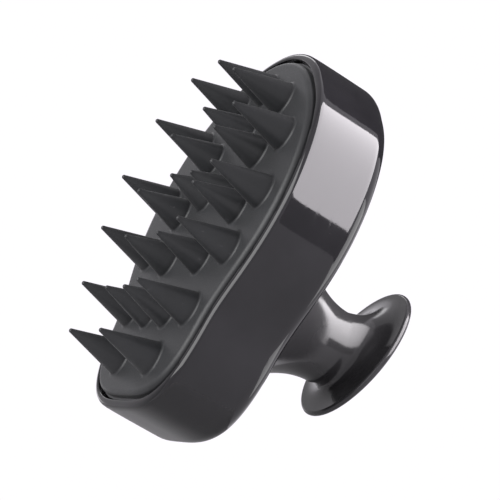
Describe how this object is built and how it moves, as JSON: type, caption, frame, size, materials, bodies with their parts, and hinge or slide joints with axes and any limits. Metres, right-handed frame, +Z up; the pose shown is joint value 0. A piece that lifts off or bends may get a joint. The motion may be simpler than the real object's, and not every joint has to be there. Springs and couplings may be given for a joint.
{
  "type": "scalp massager brush",
  "caption": "Hand-held scalp massager brush: egg-shaped glossy housing with a soft pad of conical bristles below and a mushroom-shaped finger grip above.",
  "frame": {"origin": "centre of the footprint, on the plane of the longest bristle tips", "axes": "+Z up through the grip, +X towards the fuller end of the housing, +Y to its left"},
  "size_m": [0.0931, 0.0796, 0.0664],
  "materials": {
    "abs_shell": "high-gloss moulded ABS, near black",
    "silicone": "satin moulded silicone, dark grey",
    "carrier": "fine matt moulded ABS",
    "steel": "plain zinc-bright steel"
  },
  "bodies": {
    "root": {"housing": "abs_shell", "bristle_pad": "silicone", "bristle_row_1": "silicone", "bristle_row_2": "silicone", "bristle_row_3": "silicone", "bristle_row_4": "silicone", "bristle_row_5": "silicone", "bristle_row_6": "silicone", "pad_carrier": "carrier", "carrier_screws": "steel", "grip_neck": "abs_shell", "grip_cap": "abs_shell", "grip_screw": "steel", "grip_washer": "steel"}
  },
  "joints": []
}
